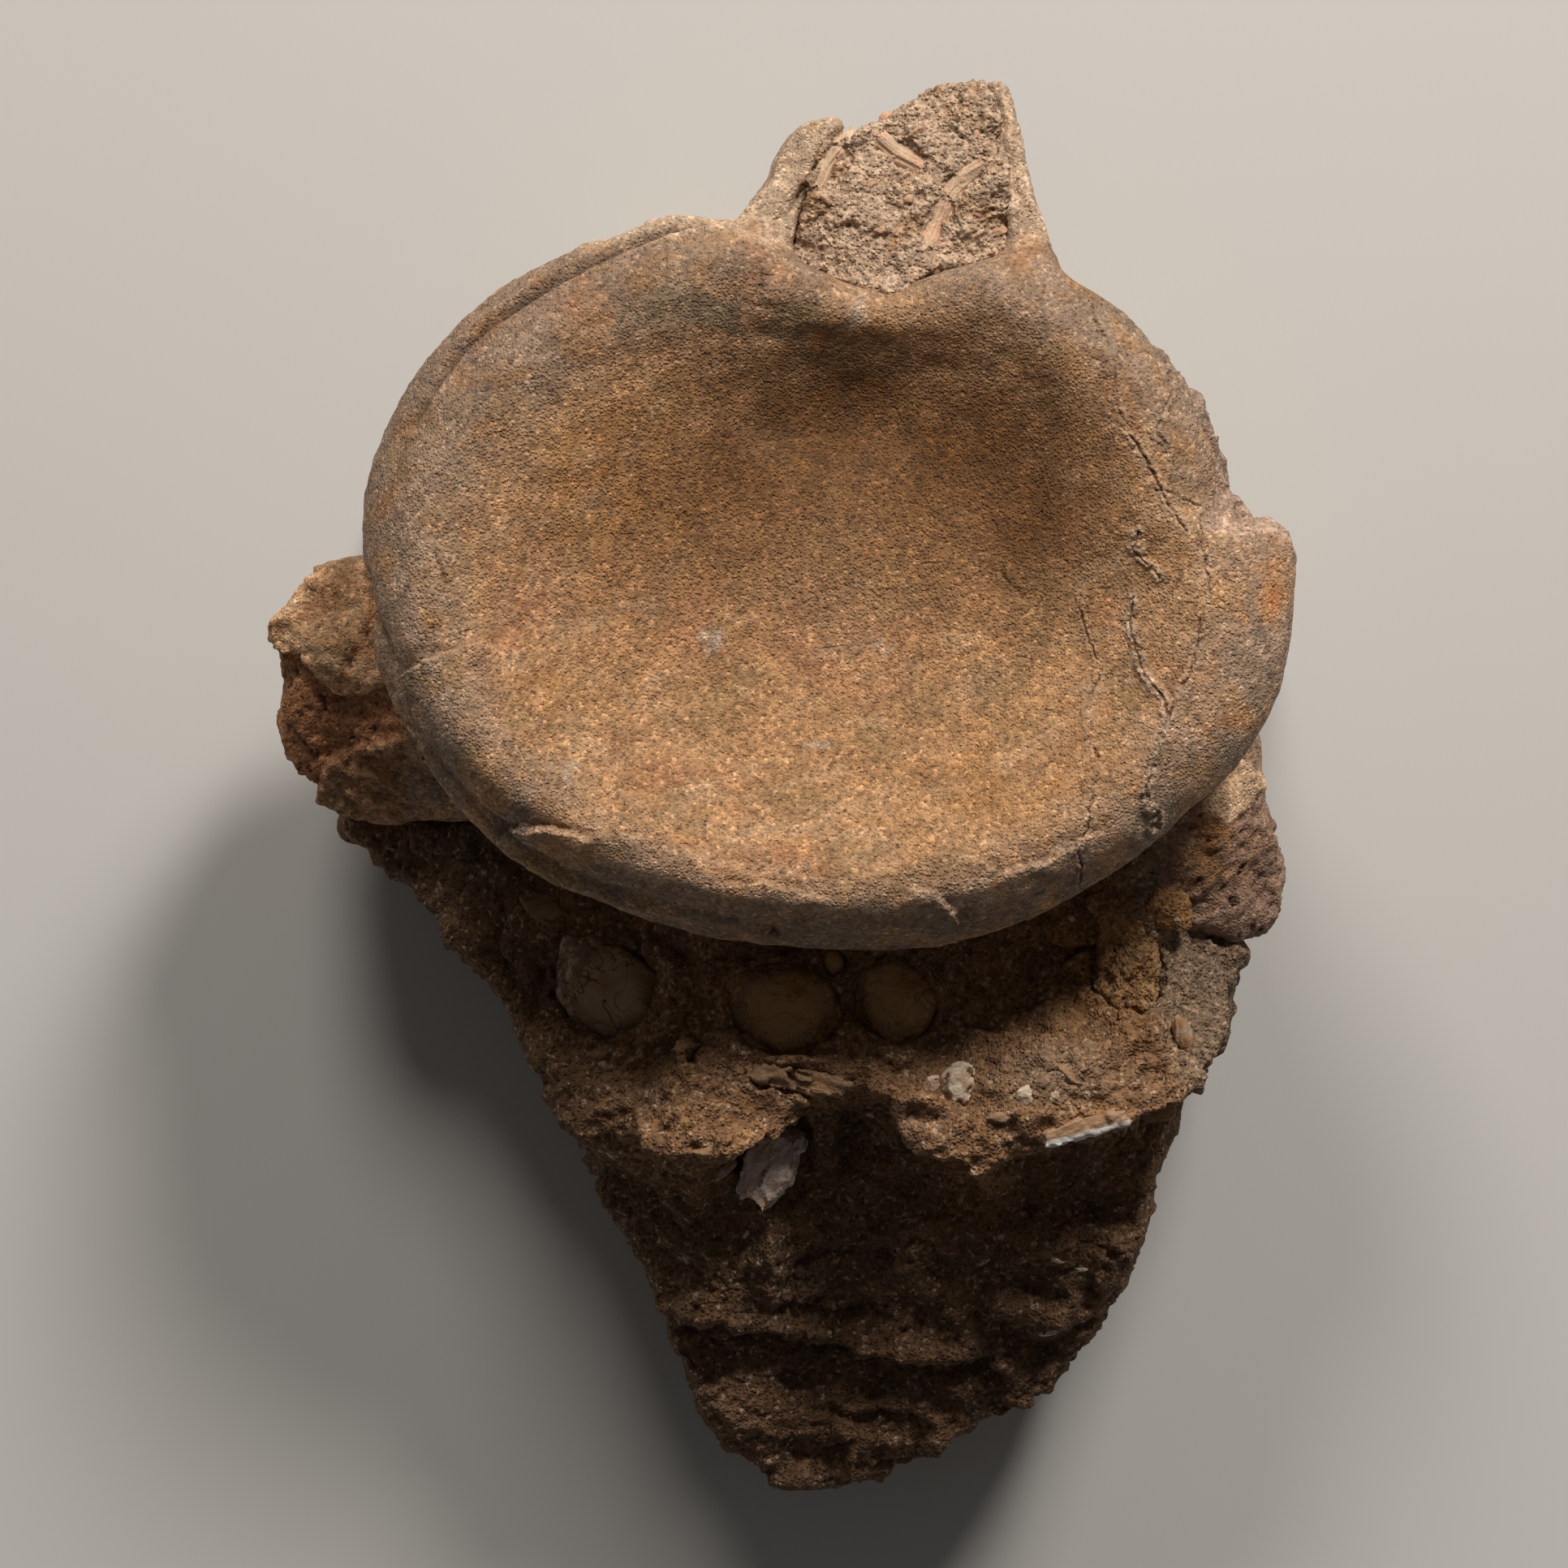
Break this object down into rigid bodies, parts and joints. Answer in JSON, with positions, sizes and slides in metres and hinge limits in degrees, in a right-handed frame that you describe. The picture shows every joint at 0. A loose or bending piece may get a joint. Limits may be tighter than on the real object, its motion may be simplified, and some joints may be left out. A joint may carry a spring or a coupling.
{
  "type": "fossil plesiosaur vertebra",
  "caption": "Fossil marine reptile neck vertebra, dished joint face up, with broken arch and rib stumps, in a tapering block of sandy matrix.",
  "frame": {"origin": "middle of the foot of the fossil's box, on the surface that it lies on", "axes": "+Z out of the front joint face, +Y towards the neural arch, +X to the right in the picture"},
  "size_m": [0.1104, 0.1528, 0.0598],
  "materials": {
    "fossil_bone": "dry, fine-grained fossil bone, ochre with grey-lilac patches, matt",
    "sandy_matrix": "coarse sandy rock, granular and matt",
    "grey_nodule": "smooth grey phosphate nodule, faint wax-like sheen",
    "amber_nodule": "smooth amber-brown phosphate nodule, faint wax-like sheen",
    "ochre_bone": "ochre broken bone, matt",
    "shell": "chalky white shell, matt",
    "pale_bone": "pale layered bone, matt",
    "dark_bone": "purple-grey bone, matt"
  },
  "bodies": {
    "root": {"vertebra": "fossil_bone", "matrix": "sandy_matrix", "canal_fill": "sandy_matrix", "nodule_left": "grey_nodule", "nodule_middle": "amber_nodule", "nodule_right": "amber_nodule", "nodule_small": "amber_nodule", "ochre_chip": "ochre_bone", "ochre_fragment": "ochre_bone", "shell_flake": "shell", "shell_edge": "shell", "seed_fragment": "pale_bone", "layered_splinter": "pale_bone", "dark_splinter": "dark_bone", "canal_splinter_1": "pale_bone", "canal_splinter_2": "pale_bone", "canal_splinter_3": "pale_bone", "canal_splinter_4": "pale_bone"}
  },
  "joints": []
}
